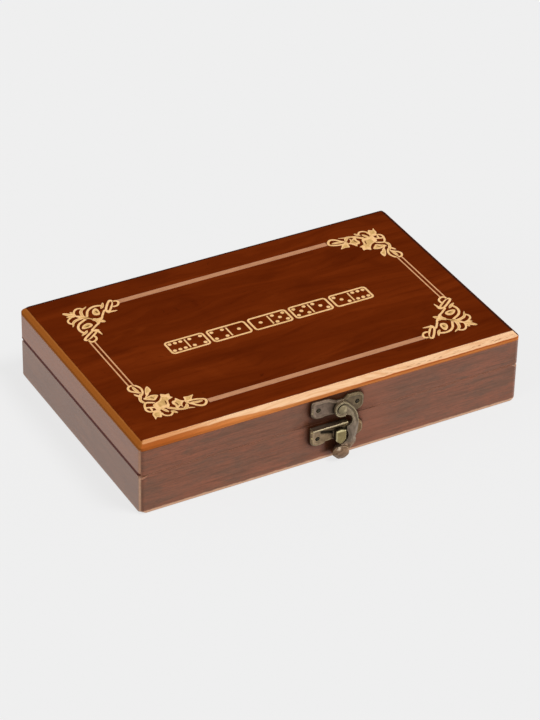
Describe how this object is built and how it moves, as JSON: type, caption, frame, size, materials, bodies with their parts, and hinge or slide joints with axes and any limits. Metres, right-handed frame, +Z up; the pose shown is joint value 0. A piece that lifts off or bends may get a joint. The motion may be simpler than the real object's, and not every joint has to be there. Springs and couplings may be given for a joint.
{
  "type": "domino storage box",
  "caption": "Flat hinged wooden box for a set of dominoes, with a bevelled dark lid, pale corner ornament, felt lining and a bronze swing-hook latch.",
  "frame": {"origin": "centre of the underside, at the middle of the wooden box", "axes": "+X along the long side to the right, -Y the side with the latch, +Z up"},
  "size_m": [0.195, 0.1329, 0.038],
  "materials": {
    "veneered_wall": "satin lacquer over red-brown veneer, grain along the board",
    "end_wall": "glossy lacquer over red-brown veneer",
    "lid_board": "deep red-brown stained top; the bevel and edge are paler orange wood",
    "lid_ornament": "pale gold engraved lines",
    "bottom_panel": "plain thin plywood",
    "felt": "short-nap green felt",
    "latch_bronze": "antique bronze, darkened in the hollows",
    "hook_bronze": "antique bronze, worn paler on the raised edges",
    "catch_metal": "yellower, brighter worn bronze",
    "nail_metal": "dark bronze-plated nails",
    "hinge_bronze": "antique bronze"
  },
  "bodies": {
    "base": {"base_front_wall": "veneered_wall", "base_right_wall": "end_wall", "base_back_wall": "veneered_wall", "base_left_wall": "end_wall", "base_bottom_panel": "bottom_panel", "base_felt_lining": "felt", "latch_lower_plate": "latch_bronze", "latch_catch": "catch_metal", "latch_lower_nails": "nail_metal", "hinge_left_base_leaf": "hinge_bronze", "hinge_left_pin": "hinge_bronze", "hinge_right_base_leaf": "hinge_bronze", "hinge_right_pin": "hinge_bronze", "hinge_base_nails": "nail_metal"},
    "lid": {"lid_front_wall": "veneered_wall", "lid_right_wall": "end_wall", "lid_back_wall": "veneered_wall", "lid_left_wall": "end_wall", "lid_top_board": "lid_board", "lid_felt_lining": "felt", "latch_upper_plate": "latch_bronze", "latch_rivet": "hook_bronze", "latch_upper_nails": "nail_metal", "hinge_left_lid_leaf": "hinge_bronze", "hinge_right_lid_leaf": "hinge_bronze", "hinge_lid_nails": "nail_metal"},
    "hook": {"latch_hook": "hook_bronze"}
  },
  "joints": [
    {"name": "lid_hinge", "type": "hinge", "parent": "base", "child": "lid", "pos_m": [0, 0.0642, 0.021], "axis": [-1, 0, 0], "range_deg": [0, 180]},
    {"name": "hook_swing", "type": "hinge", "parent": "lid", "child": "hook", "pos_m": [0.002, -0.064, 0.0271], "axis": [0, -1, 0], "range_deg": [0, 110]}
  ]
}
